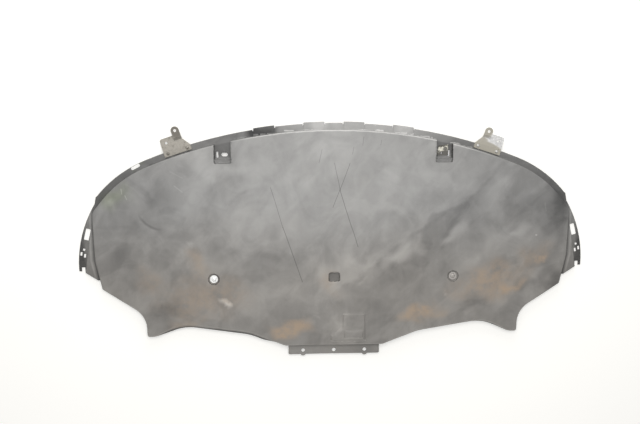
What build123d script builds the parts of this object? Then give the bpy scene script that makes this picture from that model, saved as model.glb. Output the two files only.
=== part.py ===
"""Underbody cover of a car: a moulded plastic undertray with its steel brackets and fixings.

It lies road side up. +X is across the car, +Y towards its front bumper, +Z towards the road.
All sizes are in millimetres.
"""

import os
from math import asin, cos, radians, sin, sqrt, tan

from build123d import *

# Skin: wall thickness, and the shallow spherical crown that the road face follows
wall = 3.0
crown_radius = 14000.0
crown_z = 40.0
crown_y = 30.0
edge_radius = 5.0
lip_depth = 11.0

# Plan of the road face, right half: front arc, shoulder, side, wheel arch, wing tip and rear edge
front_y = 343.5
side_x = 727.0
shoulder_x = side_x - 174.0
shoulder_y = 238.0
shoulder_end = (side_x - 27.0, 131.0)
corner_run = 45.0
side_waist_y = -50.0
side_foot_x = side_x - 18.0
side_foot_y = -140.0
arch_y = -226.0
tip_x = 579.0
tip_y = -294.0
heel_run = 27.0
peak_x = 470.0
peak_y = -250.0
fall_x = 262.0
fall_y = -281.0
rear_half = 152.5
rear_y = -326.0
corner_rounds = (40.0, 160.0, 9.0, 75.0, 7.0, 60.0, 130.0, 150.0, 20.0)

# Rim: front flange with its thick tabs, and the side ledge, all at one level
rim_z = 14.0
flange_width = 19.0
flange_end_y = 142.0
tab_xs = (60.0, 209.0)
tab_width = 62.0
tab_reach = 4.0
tab_rise = 2.5
tab_relief = 3.0
tab_relief_depth = 4.0

# Side flange: the ledge beside the panel, a step down, and the slotted foot that lies lowest
ledge_root = (side_x - 45.0, 140.0)
ledge_start = (side_x - 13.0, 146.0)
ledge_middle_y = 5.0
ledge_middle_width = 15.0
ledge_foot_y = -88.0
ledge_foot_width = 31.0
ledge_end = (side_foot_x + 13.0, -112.0)
foot_start = (side_x - 15.0, 138.0)
foot_middle_y = 31.0
foot_middle_width = 37.0
foot_end_y = -62.0
foot_width = 53.0
foot_drop = 23.0

# Cut-outs of the side flange, each at a distance out from side_x
slot_place = (22.5, 29.0)
slot_size = (15.0, 36.0)
slot_turn = 15.0
slot_round = 3.0
window_places = ((35.0, -18.0), (33.5, -37.0), (44.0, -31.0))
window_sizes = ((7.0, 7.0), (6.5, 12.0), (6.5, 12.0))
window_turn = 10.0
foot_notch_out = 40.0
foot_notch = (11.0, 12.0)

# Front pockets, with the screw hole and the slit that a clip nut hooks through
pocket_x = 332.0
pocket_width = 50.0
pocket_rear_y = 244.0
pocket_corner = 5.0
pocket_step = 11.0
pocket_step_rise = 9.0
pocket_hole_x = 327.0
pocket_hole_y = 270.0
pocket_hole = (19.0, 11.0)
slit_x = 348.5
slit = (6.0, 18.0)

# Round recesses with their screws, and the blind square recess on the centre line
recess_x = 368.0
recess_y = -109.0
recess_radius = 16.0
recess_floor_z = 28.5
recess_taper = 18.0
screw_hole_radius = 3.25
square_y = -106.0
square_size = (30.0, 25.0)
square_corner = 4.0
square_floor_z = 31.0

# Stepped boss beside the centre line, running to the rear edge
boss_base_z = 30.0
boss_taper = 45.0
boss_low_rise = 11.5
boss_high_rise = 16.0
boss_left_x = 18.0
boss_right_x = 104.0
boss_front_y = -216.0
boss_step_y = -264.0
boss_skirt_x = -18.0
boss_skirt_y = -290.0
boss_margin = 2.0
boss_rear_y = rear_y + 8.0

# Rear bolt flange with three holes in a row
rear_flange_z = 14.0
rear_flange_half = 143.0
rear_flange_end_y = -361.0
rear_flange_round = 4.0
bolt_pitch = 97.0
bolt_y = -349.0
bolt_radius = 6.0
lobe_radius = 9.0
lobe_y = -357.2

# Damage to the front flange: a chip on the left, and on the right two short slots along the root,
# placed from the end of the shoulder
chip_place = (-shoulder_x - 39.0, shoulder_y - 3.0)
chip_size = (30.0, 9.0)
chip_turn = 28.0
root_slot_places = ((-48.0, 40.0), (-19.0, 15.0))
root_slot_sizes = ((24.0, 5.0), (10.0, 5.0))
root_slot_turn = -42.0

# Stamped brackets on the front flange
bracket_x = 467.5
bracket_sheet = 2.0
bracket_half = 42.0
bracket_leg = 15.0
bracket_lip = 5.0
bracket_clear = 2.0
bracket_bend = 2.0
bracket_droop = 12.0
plate_reach = 40.0
plate_round = 6.0
lug_u = -12.0
lug_half = 12.0
lug_root = 24.0
lug_rise = 4.0
lug_reach_left = 52.0
lug_reach_right = 44.0
lug_hole_radius = 4.5
plate_hole_u = 25.0
plate_hole_v = 25.0
plate_hole_radius = 4.0

# Rivets through the bracket's leg and the flange
rivet_u = 30.0
rivet_v = -6.5
rivet_radius = 2.5
rivet_head_radius = 5.0
rivet_head_height = 2.2
rivet_tail_radius = 4.0
rivet_tail_length = 3.0

# Retaining screws and washers
washer_radius = 12.5
washer_bore_radius = 2.8
washer_thickness = 1.5
washer_chamfer = 0.4
screw_neck_radius = 2.6
screw_radius = 3.0
screw_length = 15.0
screw_head_radius = 7.0
screw_head_height = 3.6
screw_head_rim = 1.0
screw_socket_radius = 2.3
screw_socket_depth = 2.2

# Clip nut in the right pocket
clip_sheet = 1.0
clip_width = 12.0
clip_tail_x = 316.0
clip_lead_x = 315.0
clip_lead_run = 4.5
clip_wing = 12.0
clip_wing_skew = 5.0
clip_wing_rise = 6.0
nut_radius = 5.5
nut_bore_radius = 3.0
nut_height = 5.0


# Plan of the road face
with BuildSketch() as outline:
    with BuildLine():
        front = ThreePointArc((-shoulder_x, shoulder_y), (0, front_y), (shoulder_x, shoulder_y))
        shoulder = TangentArc(front @ 1, shoulder_end, tangent=front % 1)
        side_corner = shoulder @ 1 + (shoulder % 1) * corner_run
        flank = FilletPolyline(
            shoulder @ 1,
            side_corner,
            (side_x, side_waist_y),
            (side_foot_x, side_foot_y),
            (tip_x, arch_y),
            (tip_x, tip_y),
            (tip_x - heel_run, tip_y),
            (peak_x, peak_y),
            (fall_x, fall_y),
            (rear_half, rear_y),
            (0, rear_y),
            radius=corner_rounds,
        )
        mirror(shoulder, about=Plane.YZ)
        mirror(flank, about=Plane.YZ)
    make_face()

front_centre = front.arc_center
front_radius = front.radius


def crown_body(drop):
    """Everything down to the bench under the crown surface, lowered by drop."""
    reach_x = side_x + foot_width
    reach_y = front_y - rear_y
    sphere_z = crown_z - crown_radius
    with BuildPart() as body:
        Box(2 * reach_x, 2 * reach_y, crown_z + boss_high_rise, align=(Align.CENTER, Align.CENTER, Align.MIN))
        with Locations(Location((0, crown_y, sphere_z), (90, 0, 0))):
            Sphere(crown_radius - drop, mode=Mode.INTERSECT)
    return body.part


def moulded_form(inset):
    """The form that the skin wraps: inset 0 gives its road face, inset wall its inner face."""
    with BuildPart() as form:
        with BuildSketch():
            add(outline.sketch)
            if inset:
                offset(amount=-inset, mode=Mode.REPLACE)
        extrude(amount=crown_z + wall)
        add(crown_body(inset), mode=Mode.INTERSECT)

        # Stepped boss: a low plateau with a skirt on its left, and a higher one behind the step
        with BuildSketch(Plane.XY.offset(boss_base_z - inset)) as low_boss:
            with BuildLine():
                Polyline(
                    (boss_right_x, boss_front_y),
                    (boss_left_x, boss_front_y),
                    (boss_left_x, boss_step_y),
                    (boss_skirt_x, boss_skirt_y),
                    (boss_skirt_x, boss_rear_y),
                    (boss_right_x, boss_rear_y),
                    close=True,
                )
            make_face()
            if inset:
                offset(amount=-inset, mode=Mode.REPLACE)
        extrude(amount=boss_low_rise, taper=boss_taper)
        with BuildSketch(Plane.XY.offset(boss_base_z - inset)) as high_boss:
            with BuildLine():
                Polyline(
                    (boss_right_x - boss_margin, boss_step_y),
                    (boss_left_x + boss_margin, boss_step_y),
                    (boss_left_x - boss_margin, boss_rear_y),
                    (boss_right_x - boss_margin, boss_rear_y),
                    close=True,
                )
            make_face()
            if inset:
                offset(amount=-inset, mode=Mode.REPLACE)
        extrude(amount=boss_high_rise, taper=boss_taper)

        # Round screw recesses and the square blind one, with sloping walls
        with BuildSketch(Plane.XY.offset(recess_floor_z - inset)):
            with Locations((-recess_x, recess_y), (recess_x, recess_y)):
                Circle(recess_radius + inset)
        extrude(amount=crown_z - recess_floor_z, taper=-recess_taper, mode=Mode.SUBTRACT)
        with BuildSketch(Plane.XY.offset(square_floor_z - inset)):
            with Locations((0, square_y)):
                RectangleRounded(
                    square_size[0] + 2 * inset, square_size[1] + 2 * inset, square_corner + inset
                )
        extrude(amount=crown_z - square_floor_z, taper=-recess_taper, mode=Mode.SUBTRACT)

        # Rounded edge all round the road face
        road_face = form.faces().filter_by(GeomType.SPHERE).sort_by(SortBy.AREA)[-1]
        fillet(road_face.outer_wire().edges(), edge_radius - inset)

        # Front pockets, open towards the front flange, with a step up at the back
        pocket_far_y = front_y + flange_width
        for floor_z, back_y in (
            (rim_z, pocket_rear_y + pocket_step),
            (rim_z + pocket_step_rise, pocket_rear_y),
        ):
            pocket_length = pocket_far_y - back_y + inset
            with BuildSketch(Plane.XY.offset(floor_z - inset)):
                with Locations(*[(x, back_y - inset + pocket_length / 2) for x in (-pocket_x, pocket_x)]):
                    RectangleRounded(pocket_width + 2 * inset, pocket_length, pocket_corner + inset)
            extrude(amount=crown_z, mode=Mode.SUBTRACT)
    return form.part


def rear_space():
    """What is open behind the turned lip along the wheel arches and the rear edge."""
    depth = side_foot_y - rear_flange_end_y
    with BuildPart() as space:
        with BuildSketch():
            with Locations((0, side_foot_y)):
                Rectangle(2 * (side_x + foot_width), depth, align=(Align.CENTER, Align.MAX))
            with Locations((0, rear_y)):
                Rectangle(2 * rear_flange_half, 2 * wall, mode=Mode.SUBTRACT)
        extrude(amount=crown_z + wall)
        add(crown_body(lip_depth), mode=Mode.INTERSECT)
    return space.part


# Line half way through the skirt, which every plate of the rim reaches into
with BuildSketch() as skirt_line:
    add(outline.sketch)
    offset(amount=-wall / 2, mode=Mode.REPLACE)

# Plan of the front flange, and of the longer reach of its tabs
with BuildSketch() as flange_area:
    add(outline.sketch)
    offset(amount=flange_width, mode=Mode.REPLACE)
    with Locations((0, flange_end_y)):
        Rectangle(2 * (side_x + foot_width), front_y, align=(Align.CENTER, Align.MIN), mode=Mode.INTERSECT)
with BuildSketch() as tab_area:
    add(outline.sketch)
    offset(amount=flange_width + tab_reach, mode=Mode.REPLACE)
    with Locations(*[(side * x, front_y) for x in tab_xs for side in (-1, 1)]):
        Rectangle(tab_width, front_y, mode=Mode.INTERSECT)
    add(skirt_line.sketch, mode=Mode.SUBTRACT)

# Plan of the side ledge and of the foot below it
with BuildSketch() as ledge_area:
    with BuildLine():
        ledge_corner = (side_x + ledge_foot_width, ledge_foot_y)
        ThreePointArc(ledge_start, (side_x + ledge_middle_width, ledge_middle_y), ledge_corner)
        Polyline(ledge_corner, ledge_end, (side_foot_x - wall, ledge_end[1]), ledge_root, ledge_start)
    make_face()
with BuildSketch() as foot_area:
    with BuildLine():
        foot_corner = (side_x + foot_width, foot_end_y)
        foot_toe = (side_x + foot_width, foot_end_y - foot_drop)
        ThreePointArc(foot_start, (side_x + foot_middle_width, foot_middle_y), foot_corner)
        Polyline(foot_corner, foot_toe, ledge_corner, (side_foot_x - wall, foot_toe[1]), foot_start)
    make_face()

# Station of the brackets on the front flange: u runs along its edge, v out from it
bracket_angle = asin(bracket_x / (front_radius + flange_width))
bracket_origin = (
    bracket_x,
    front_centre.Y + (front_radius + flange_width) * cos(bracket_angle),
    rim_z,
)
along_edge = (cos(bracket_angle), -sin(bracket_angle), 0)
out_from_edge = (sin(bracket_angle), cos(bracket_angle), 0)
bracket_plan = Plane(origin=bracket_origin, x_dir=along_edge, z_dir=(0, 0, 1))
bracket_section = Plane(origin=bracket_origin, x_dir=out_from_edge, z_dir=along_edge)
rivet_places = [bracket_plan.from_local_coords((u, rivet_v, 0)) for u in (-rivet_u, rivet_u)]

# Moulded panel, one piece
with BuildPart() as cover_panel:
    add(moulded_form(0))
    add(moulded_form(wall), mode=Mode.SUBTRACT)

    # The skirt ends at the rim's underside in front, at the turned lip behind
    with BuildSketch():
        with Locations((0, side_foot_y)):
            Rectangle(2 * side_x + wall, front_y - side_foot_y, align=(Align.CENTER, Align.MIN))
        with Locations((0, rear_y)):
            Rectangle(2 * rear_flange_half, 2 * wall)
    extrude(amount=rim_z - wall, mode=Mode.SUBTRACT)
    add(rear_space(), mode=Mode.SUBTRACT)

    # Side ledge, the wall stepping down from it and the foot, on both sides
    with BuildSketch(Plane.XY.offset(rim_z - wall)):
        add(ledge_area.sketch)
        add(skirt_line.sketch, mode=Mode.SUBTRACT)
        mirror(about=Plane.YZ)
    extrude(amount=wall)
    with BuildSketch():
        add(ledge_area.sketch)
        with BuildSketch(mode=Mode.SUBTRACT):
            add(ledge_area.sketch)
            offset(amount=-wall, mode=Mode.REPLACE)
        add(outline.sketch, mode=Mode.SUBTRACT)
        mirror(about=Plane.YZ)
    extrude(amount=rim_z)
    with BuildSketch():
        add(foot_area.sketch)
        with BuildSketch(mode=Mode.SUBTRACT):
            add(ledge_area.sketch)
            offset(amount=-wall, mode=Mode.REPLACE)
        add(outline.sketch, mode=Mode.SUBTRACT)
        mirror(about=Plane.YZ)
    extrude(amount=wall)

    # Front flange and its thick tabs, with relief cuts at their ends
    with BuildSketch(Plane.XY.offset(rim_z - wall)):
        add(flange_area.sketch)
        add(skirt_line.sketch, mode=Mode.SUBTRACT)
    extrude(amount=wall)
    with BuildSketch(Plane.XY.offset(rim_z)):
        add(tab_area.sketch)
    extrude(amount=tab_rise)

    # Rear bolt flange, with a small lobe below each outer hole
    with BuildSketch(Plane.XY.offset(rear_flange_z - wall)) as rear_flange:
        with Locations((0, rear_y + wall / 2)):
            Rectangle(
                2 * rear_flange_half, rear_y + wall / 2 - rear_flange_end_y, align=(Align.CENTER, Align.MAX)
            )
        fillet(rear_flange.vertices().group_by(Axis.Y)[0], rear_flange_round)
        with Locations((-bolt_pitch, lobe_y), (bolt_pitch, lobe_y)):
            Circle(lobe_radius)
        with GridLocations(bolt_pitch, 0, 3, 1):
            with Locations((0, bolt_y)):
                Circle(bolt_radius, mode=Mode.SUBTRACT)
    extrude(amount=wall)

    # Slot, clip windows and end notch of each side flange
    with BuildSketch() as flange_cuts:
        with Locations(Location((side_x + slot_place[0], slot_place[1]), slot_turn)):
            RectangleRounded(*slot_size, slot_round)
        for (out, y), size in zip(window_places, window_sizes):
            with Locations(Location((side_x + out, y), window_turn)):
                Rectangle(*size)
        with Locations((side_x + foot_notch_out, foot_end_y - foot_drop)):
            Rectangle(foot_notch[0], 2 * foot_notch[1])
        mirror(about=Plane.YZ)
    extrude(amount=wall, mode=Mode.SUBTRACT)

    # Cuts at rim level: tab reliefs, rivet holes, pocket holes and slits, and the damaged places
    flange_radius = front_radius + flange_width
    relief_xs = [x + end * (tab_width + tab_relief) / 2 for x in tab_xs for end in (-1, 1)]
    with BuildSketch(Plane.XY.offset(rim_z - wall)):
        with Locations(*[(x, front_centre.Y + sqrt(flange_radius**2 - x**2)) for x in relief_xs]):
            Rectangle(tab_relief, 2 * tab_relief_depth)
        with Locations(*[(place.X, place.Y) for place in rivet_places]):
            Circle(rivet_radius)
        with Locations((pocket_hole_x, pocket_hole_y)):
            SlotOverall(*pocket_hole)
        with Locations((slit_x, pocket_hole_y)):
            Rectangle(*slit)
        mirror(about=Plane.YZ)
        with Locations(Location(chip_place, chip_turn)):
            SlotOverall(*chip_size)
        for (along, up), size in zip(root_slot_places, root_slot_sizes):
            root_slot = (shoulder_end[0] + along, shoulder_end[1] + up)
            with Locations(Location(root_slot, root_slot_turn)):
                SlotOverall(*size)
    extrude(amount=wall, mode=Mode.SUBTRACT)
    with BuildSketch(Plane.XY.offset(recess_floor_z - wall)):
        with Locations((-recess_x, recess_y), (recess_x, recess_y)):
            Circle(screw_hole_radius)
    extrude(amount=wall, mode=Mode.SUBTRACT)

droop_slope = tan(radians(bracket_droop))


def stamped_bracket(lug_reach):
    """A bracket at the right-hand station: leg on the flange, drooping plate and a joggled lug."""
    lug_end = lug_reach + lug_half
    with BuildPart() as lug:
        with BuildSketch(bracket_section.offset(lug_u)):
            with BuildLine():
                joggle_v = lug_root + 2 * lug_rise
                lug_z = lug_rise - (lug_root - bracket_clear) * droop_slope
                Polyline(
                    (lug_root - lug_half, -(lug_root - lug_half - bracket_clear) * droop_slope),
                    (lug_root, -(lug_root - bracket_clear) * droop_slope),
                    (joggle_v, lug_z),
                    (lug_end, lug_z),
                )
                offset(amount=bracket_sheet, side=Side.LEFT)
            make_face()
        extrude(amount=lug_half, both=True)
        with BuildSketch(bracket_plan.offset(-rim_z)):
            with Locations((lug_u, lug_root - lug_half)):
                Rectangle(2 * lug_half, lug_reach - lug_root + lug_half, align=(Align.CENTER, Align.MIN))
            with Locations((lug_u, lug_reach)):
                Circle(lug_half)
                Circle(lug_hole_radius, mode=Mode.SUBTRACT)
        extrude(amount=2 * rim_z, mode=Mode.INTERSECT)
    with BuildPart() as bracket:
        with BuildSketch(bracket_section):
            with BuildLine():
                FilletPolyline(
                    (-bracket_leg, bracket_lip),
                    (-bracket_leg, 0),
                    (bracket_clear, 0),
                    (plate_reach, -(plate_reach - bracket_clear) * droop_slope),
                    radius=bracket_bend,
                )
                offset(amount=bracket_sheet, side=Side.LEFT)
            make_face()
        extrude(amount=bracket_half, both=True)
        with BuildSketch(bracket_plan.offset(-rim_z)) as plan:
            with BuildLine():
                Polyline(
                    (-bracket_half, -bracket_leg),
                    (bracket_half, -bracket_leg),
                    (bracket_half, plate_reach),
                    (lug_u + lug_half, plate_reach),
                    (lug_u + lug_half, lug_root),
                    (lug_u - lug_half, lug_root),
                    (-bracket_half, 0),
                    close=True,
                )
            make_face()
            fillet(plan.vertices().group_by(Axis.Y)[-1].sort_by(Axis.X)[-1], plate_round)
            with Locations((plate_hole_u, plate_hole_v)):
                Circle(plate_hole_radius, mode=Mode.SUBTRACT)
            with Locations((-rivet_u, rivet_v), (rivet_u, rivet_v)):
                Circle(rivet_radius, mode=Mode.SUBTRACT)
        extrude(amount=2 * rim_z, mode=Mode.INTERSECT)
        add(lug.part)
    return bracket.part


with BuildPart() as bracket_right:
    add(stamped_bracket(lug_reach_right))
with BuildPart() as bracket_left:
    add(stamped_bracket(lug_reach_left))
    mirror(about=Plane.YZ, mode=Mode.REPLACE)


def rivet_pair():
    """The two rivets of the right-hand bracket: domed head, shank and set tail."""
    with BuildPart() as rivets:
        for place in rivet_places:
            with BuildSketch(Plane(origin=place, x_dir=(1, 0, 0), z_dir=(0, -1, 0))):
                with BuildLine():
                    head_top = (0, bracket_sheet + rivet_head_height)
                    head = TangentArc(head_top, (rivet_head_radius, bracket_sheet), tangent=(1, 0))
                    Polyline(
                        head @ 1,
                        (rivet_radius, bracket_sheet),
                        (rivet_radius, -wall),
                        (rivet_tail_radius, -wall),
                        (rivet_tail_radius, -wall - rivet_tail_length),
                        (0, -wall - rivet_tail_length),
                        head @ 0,
                    )
                make_face()
            revolve(axis=Axis(place, (0, 0, 1)))
    return rivets.part


with BuildPart() as bracket_rivets_right:
    add(rivet_pair())
with BuildPart() as bracket_rivets_left:
    add(rivet_pair())
    mirror(about=Plane.YZ, mode=Mode.REPLACE)


def retaining_washer(x):
    """Washer on the floor of the round recess at x, held captive between screw head and thread."""
    with BuildPart() as washer:
        with BuildSketch(Plane.XY.offset(recess_floor_z)):
            with Locations((x, recess_y)):
                Circle(washer_radius)
                Circle(washer_bore_radius, mode=Mode.SUBTRACT)
        extrude(amount=washer_thickness)
        chamfer(washer.edges().group_by(Axis.Z)[-1].sort_by(SortBy.LENGTH)[-1], washer_chamfer)
    return washer.part


def retaining_screw(x):
    """Button-head screw with a thin neck through the washer at x, and a hexagon socket."""
    seat = (x, recess_y, recess_floor_z + washer_thickness)
    neck_length = washer_thickness + wall
    with BuildPart() as screw:
        with BuildSketch(Plane(origin=seat, x_dir=(1, 0, 0), z_dir=(0, -1, 0))):
            with BuildLine():
                rim = Line((screw_head_radius, 0), (screw_head_radius, screw_head_rim))
                dome = TangentArc((0, screw_head_height), rim @ 1, tangent=(1, 0))
                Polyline(
                    dome @ 0,
                    (0, -neck_length - screw_length),
                    (screw_radius, -neck_length - screw_length),
                    (screw_radius, -neck_length),
                    (screw_neck_radius, -neck_length),
                    (screw_neck_radius, 0),
                    rim @ 0,
                )
            make_face()
        revolve(axis=Axis(seat, (0, 0, 1)))
        with BuildSketch(Plane.XY.offset(seat[2] + screw_head_height)):
            with Locations((x, recess_y)):
                RegularPolygon(screw_socket_radius, 6)
        extrude(amount=-screw_socket_depth, mode=Mode.SUBTRACT)
    return screw.part


with BuildPart() as retaining_washer_left:
    add(retaining_washer(-recess_x))
with BuildPart() as retaining_washer_right:
    add(retaining_washer(recess_x))
with BuildPart() as retaining_screw_left:
    add(retaining_screw(-recess_x))
with BuildPart() as retaining_screw_right:
    add(retaining_screw(recess_x))

# Clip nut: a spring strip hooked through the slit, with a lifted wing and a threaded barrel below
with BuildPart() as spring_nut:
    hook_x = slit_x - slit[0] / 2
    floor_underside_z = rim_z - wall
    with BuildSketch(Plane.XZ.offset(-pocket_hole_y)):
        with BuildLine():
            Polyline(
                (clip_tail_x, floor_underside_z),
                (hook_x, floor_underside_z),
                (hook_x, rim_z),
                (clip_lead_x, rim_z),
                (clip_lead_x - clip_lead_run, rim_z + clip_lead_run),
            )
            offset(amount=clip_sheet, side=Side.LEFT)
        make_face()
    extrude(amount=clip_width / 2, both=True)
    wing_y = pocket_hole_y + clip_width / 2
    with BuildSketch(Plane.XY.offset(rim_z)):
        with BuildLine():
            Polyline(
                (clip_lead_x, wing_y),
                (hook_x, wing_y),
                (hook_x, wing_y + clip_wing + clip_wing_skew),
                (clip_lead_x, wing_y + clip_wing),
                close=True,
            )
        make_face()
    extrude(amount=clip_sheet)
    with BuildSketch(Plane.XY.offset(rim_z)):
        with BuildLine():
            Polyline(
                (clip_lead_x, wing_y + clip_wing - clip_sheet),
                (hook_x, wing_y + clip_wing + clip_wing_skew - clip_sheet),
                (hook_x, wing_y + clip_wing + clip_wing_skew),
                (clip_lead_x, wing_y + clip_wing),
                close=True,
            )
        make_face()
    extrude(amount=clip_wing_rise, dir=(0, 1, 1))
    with BuildSketch(Plane.XY.offset(floor_underside_z - clip_sheet)):
        with Locations((pocket_hole_x, pocket_hole_y)):
            Circle(nut_radius)
    extrude(amount=-nut_height)
    with BuildSketch(Plane.XY):
        with Locations((pocket_hole_x, pocket_hole_y)):
            Circle(nut_bore_radius)
    extrude(amount=rim_z + clip_sheet, mode=Mode.SUBTRACT)

os.makedirs("parts", exist_ok=True)
cover_panel.part.label = "cover_panel"
export_step(cover_panel.part, "parts/cover_panel.step")
bracket_left.part.label = "bracket_left"
export_step(bracket_left.part, "parts/bracket_left.step")
bracket_right.part.label = "bracket_right"
export_step(bracket_right.part, "parts/bracket_right.step")
bracket_rivets_left.part.label = "bracket_rivets_left"
export_step(bracket_rivets_left.part, "parts/bracket_rivets_left.step")
bracket_rivets_right.part.label = "bracket_rivets_right"
export_step(bracket_rivets_right.part, "parts/bracket_rivets_right.step")
retaining_screw_left.part.label = "retaining_screw_left"
export_step(retaining_screw_left.part, "parts/retaining_screw_left.step")
retaining_screw_right.part.label = "retaining_screw_right"
export_step(retaining_screw_right.part, "parts/retaining_screw_right.step")
retaining_washer_left.part.label = "retaining_washer_left"
export_step(retaining_washer_left.part, "parts/retaining_washer_left.step")
retaining_washer_right.part.label = "retaining_washer_right"
export_step(retaining_washer_right.part, "parts/retaining_washer_right.step")
spring_nut.part.label = "spring_nut"
export_step(spring_nut.part, "parts/spring_nut.step")
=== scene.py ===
"""Underbody cover of a car, laid road side up on a white studio floor.

Metres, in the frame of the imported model: +X across the car, +Y to its front, +Z to the road.
"""

from math import cos, pi, radians, sin

import bmesh
import bpy
import numpy as np
from mathutils import Matrix, Vector


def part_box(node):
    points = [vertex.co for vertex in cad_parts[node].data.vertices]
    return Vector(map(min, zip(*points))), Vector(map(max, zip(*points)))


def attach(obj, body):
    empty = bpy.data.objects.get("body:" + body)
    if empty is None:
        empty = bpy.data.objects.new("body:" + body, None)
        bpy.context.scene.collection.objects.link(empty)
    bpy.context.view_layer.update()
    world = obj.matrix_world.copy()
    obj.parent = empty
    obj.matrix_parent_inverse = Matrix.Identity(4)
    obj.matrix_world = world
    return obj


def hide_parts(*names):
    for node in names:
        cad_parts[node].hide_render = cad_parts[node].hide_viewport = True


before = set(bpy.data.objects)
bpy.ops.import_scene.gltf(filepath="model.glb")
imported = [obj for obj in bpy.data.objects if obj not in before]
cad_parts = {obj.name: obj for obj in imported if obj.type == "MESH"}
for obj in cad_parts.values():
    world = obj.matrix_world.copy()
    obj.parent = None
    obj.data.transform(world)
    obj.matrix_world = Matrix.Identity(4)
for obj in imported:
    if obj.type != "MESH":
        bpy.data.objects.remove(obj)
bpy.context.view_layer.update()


# Cover panel
# One skin of black polypropylene, moulded in a single shot and dished towards the road. Road dust,
# dried mud and scrapes have turned its road face grey, and heat has left the thin sheet slightly wavy.

# The road face is a shallow spherical crown; the sheet is cut into cells so that it can bend
CROWN_TOP = 0.040
CROWN_RADIUS = 14.0
CROWN_MIDDLE_Y = 0.030
SHEET_CELL = 0.010
MERGE = 1e-6
# Slow waves: height, length across and along the car, and phase
WAVES = ((0.0013, 0.62, 0.90, 0.6), (0.0010, -1.30, 0.41, 2.1), (0.0006, 0.23, 0.52, 4.0))
# Places at the right that hold the sheet flat, mirrored at the left: middle and reach
HELD_FLAT = (((0.4675, 0.312), 0.075), ((0.332, 0.275), 0.065), ((0.368, -0.109), 0.060))
STILL_END_X = 0.60
STILL_END_FADE = 0.12
# Round crease at the left, and small knocks: middle, reach and height
CREASE_MIDDLE = (-0.517, 0.122)
CREASE_RADIUS = 0.076
CREASE_WIDTH = 0.012
CREASE_DEPTH = 0.0030
CREASE_BEARING = -2.25
CREASE_SPREAD = 0.55
KNOCKS = (
    ((0.626, -0.003), 0.016, 0.0016),
    ((-0.466, 0.000), 0.016, 0.0014),
    ((0.606, -0.101), 0.016, -0.0014),
    ((0.646, -0.073), 0.024, -0.0012),
)


def cut_sheet(node, cell):
    """Copy of a CAD node's mesh, merged and cut along every cell of a square grid in plan."""
    sheet = bmesh.new()
    sheet.from_mesh(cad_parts[node].data)
    bmesh.ops.remove_doubles(sheet, verts=sheet.verts, dist=MERGE)
    low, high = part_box(node)
    for axis in (Vector((1, 0, 0)), Vector((0, 1, 0))):
        for cut in np.arange(low.dot(axis) + cell, high.dot(axis), cell):
            everything = sheet.verts[:] + sheet.edges[:] + sheet.faces[:]
            bmesh.ops.bisect_plane(sheet, geom=everything, dist=MERGE, plane_co=axis * cut, plane_no=axis)
    bmesh.ops.triangulate(sheet, faces=sheet.faces)
    mesh = bpy.data.meshes.new(node + "_worn")
    sheet.to_mesh(mesh)
    sheet.free()
    return mesh


def bell(x, y, middle, reach):
    """exp(-d^2), with d the distance from middle in units of reach."""
    return np.exp(-((x - middle[0]) ** 2 + (y - middle[1]) ** 2) / reach**2)


def panel_warp(x, y):
    """Height added at (x, y): sine waves, still where the sheet is held and at its ends, less the crease,
    a bell across and along its arc, plus a bell for each knock."""
    waves = np.zeros_like(x)
    for height, across, along, phase in WAVES:
        waves += height * np.sin(2 * pi * (x / across + y / along) + phase)
    for side in (-1, 1):
        for fixing, reach in HELD_FLAT:
            waves *= 1 - bell(side * x, y, fixing, reach)
    waves *= 1 - np.clip((np.abs(x) - STILL_END_X) / STILL_END_FADE, 0, 1) ** 2

    away_x, away_y = x - CREASE_MIDDLE[0], y - CREASE_MIDDLE[1]
    off_arc = (np.hypot(away_x, away_y) - CREASE_RADIUS) / CREASE_WIDTH
    off_bearing = (np.arctan2(away_y, away_x) - CREASE_BEARING) / CREASE_SPREAD
    dents = -CREASE_DEPTH * np.exp(-(off_arc**2) - off_bearing**2)
    for middle, reach, height in KNOCKS:
        dents += height * bell(x, y, middle, reach)
    return waves + dents


def fill_sockets(tree, node, links):
    """Join each socket in links to the node's input of that key, and set each plain value there."""
    for key, value in links.items():
        if isinstance(value, bpy.types.NodeSocket):
            tree.links.new(value, node.inputs[key])
        else:
            node.inputs[key].default_value = value


def shader_node(tree, kind, links=None, **settings):
    """A new node with its settings; each entry of links is a socket to join or a value to set."""
    node = tree.nodes.new("ShaderNode" + kind)
    for name, value in settings.items():
        setattr(node, name, value)
    fill_sockets(tree, node, links or {})
    return node


def math_node(tree, operation, *terms, clamp=False):
    """Output of a Math node on the terms, which are sockets or numbers."""
    node = shader_node(tree, "Math", dict(enumerate(terms)), operation=operation, use_clamp=clamp)
    return node.outputs[0]


def product_node(tree, first, *others):
    """Product of several shares."""
    for other in others:
        first = math_node(tree, "MULTIPLY", first, other)
    return first


def off_node(tree, value, middle):
    """Distance of a value from a middle one."""
    return math_node(tree, "ABSOLUTE", math_node(tree, "SUBTRACT", value, middle))


def vector_node(tree, operation, *terms):
    """Output vector of a Vector Math node on the terms."""
    return shader_node(tree, "VectorMath", dict(enumerate(terms)), operation=operation).outputs["Vector"]


def dot_node(tree, first, second):
    """Dot product of two vectors."""
    return shader_node(tree, "VectorMath", {0: first, 1: second}, operation="DOT_PRODUCT").outputs["Value"]


def length_node(tree, vector):
    """Length of a vector."""
    return shader_node(tree, "VectorMath", {0: vector}, operation="LENGTH").outputs["Value"]


def scale_node(tree, vector, factor):
    """Vector times a factor."""
    return shader_node(tree, "VectorMath", {0: vector, "Scale": factor}, operation="SCALE").outputs["Vector"]


def axes_node(tree, vector):
    """The three parts of a vector, under the names X, Y and Z."""
    return shader_node(tree, "SeparateXYZ", {0: vector}).outputs


def plan_node(tree, place, middle):
    """Vector in plan from a middle point to the place."""
    return vector_node(tree, "MULTIPLY", vector_node(tree, "SUBTRACT", place, middle), (1, 1, 0))


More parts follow.
